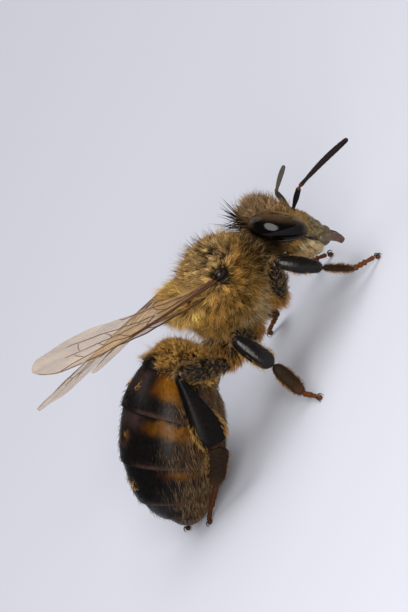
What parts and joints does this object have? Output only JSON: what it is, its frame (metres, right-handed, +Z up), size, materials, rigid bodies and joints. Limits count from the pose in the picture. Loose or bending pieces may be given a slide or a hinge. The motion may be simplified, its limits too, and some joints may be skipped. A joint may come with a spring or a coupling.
{
  "type": "honey bee",
  "caption": "Life-size still model of a worker honey bee standing with its abdomen curled down, wings parted over its back and feelers raised.",
  "frame": {"origin": "on the floor under the middle of the bee's bounding box, at the level its feet stand on", "axes": "+X is the way the bee faces, +Y is its left side and +Z is up"},
  "size_m": [0.017, 0.009, 0.0107],
  "materials": {
    "head_coat": "short, grizzled brown and straw hair over black cuticle",
    "thorax_coat": "dense tan to golden-brown branched hair with dark roots",
    "banded_cuticle": "satin black-brown plates with amber bands and short pale hair",
    "eye": "dark brown compound eye with a fine facet texture and a soft gloss",
    "wing_membrane": "clear, smoky amber membrane with brown veins",
    "black_cuticle": "glossy black cuticle with sparse hair",
    "brown_cuticle": "dark brown cuticle under short bristles",
    "amber_cuticle": "translucent amber mouthparts",
    "rusty_foot": "rusty red-brown small foot joints with black claws"
  },
  "bodies": {
    "root": {"head": "head_coat", "eye_right": "eye", "mandible_right": "brown_cuticle", "eye_left": "eye", "mandible_left": "brown_cuticle", "proboscis": "amber_cuticle", "antenna_right_scape": "black_cuticle", "antenna_right_flagellum": "black_cuticle", "antenna_left_scape": "black_cuticle", "antenna_left_flagellum": "black_cuticle", "thorax": "thorax_coat", "waist": "black_cuticle", "abdomen_1": "banded_cuticle", "abdomen_2": "banded_cuticle", "abdomen_3": "banded_cuticle", "abdomen_4": "banded_cuticle", "abdomen_5": "banded_cuticle", "abdomen_6": "banded_cuticle", "tegula_right": "black_cuticle", "wing_fore_right": "wing_membrane", "wing_hind_right": "wing_membrane", "tegula_left": "black_cuticle", "wing_fore_left": "wing_membrane", "wing_hind_left": "wing_membrane", "leg_fore_right_coxa": "thorax_coat", "leg_fore_right_femur": "black_cuticle", "leg_fore_right_tibia": "black_cuticle", "leg_fore_right_basitarsus": "brown_cuticle", "leg_fore_right_foot": "rusty_foot", "leg_mid_right_coxa": "thorax_coat", "leg_mid_right_femur": "black_cuticle", "leg_mid_right_tibia": "black_cuticle", "leg_mid_right_basitarsus": "brown_cuticle", "leg_mid_right_foot": "rusty_foot", "leg_hind_right_coxa": "thorax_coat", "leg_hind_right_femur": "black_cuticle", "leg_hind_right_tibia": "black_cuticle", "leg_hind_right_basitarsus": "brown_cuticle", "leg_hind_right_foot": "rusty_foot", "leg_fore_left_coxa": "thorax_coat", "leg_fore_left_femur": "black_cuticle", "leg_fore_left_tibia": "black_cuticle", "leg_fore_left_basitarsus": "brown_cuticle", "leg_fore_left_foot": "rusty_foot", "leg_mid_left_coxa": "thorax_coat", "leg_mid_left_femur": "black_cuticle", "leg_mid_left_tibia": "black_cuticle", "leg_mid_left_basitarsus": "brown_cuticle", "leg_mid_left_foot": "rusty_foot", "leg_hind_left_coxa": "thorax_coat", "leg_hind_left_femur": "black_cuticle", "leg_hind_left_tibia": "black_cuticle", "leg_hind_left_basitarsus": "brown_cuticle", "leg_hind_left_foot": "rusty_foot"}
  },
  "joints": []
}
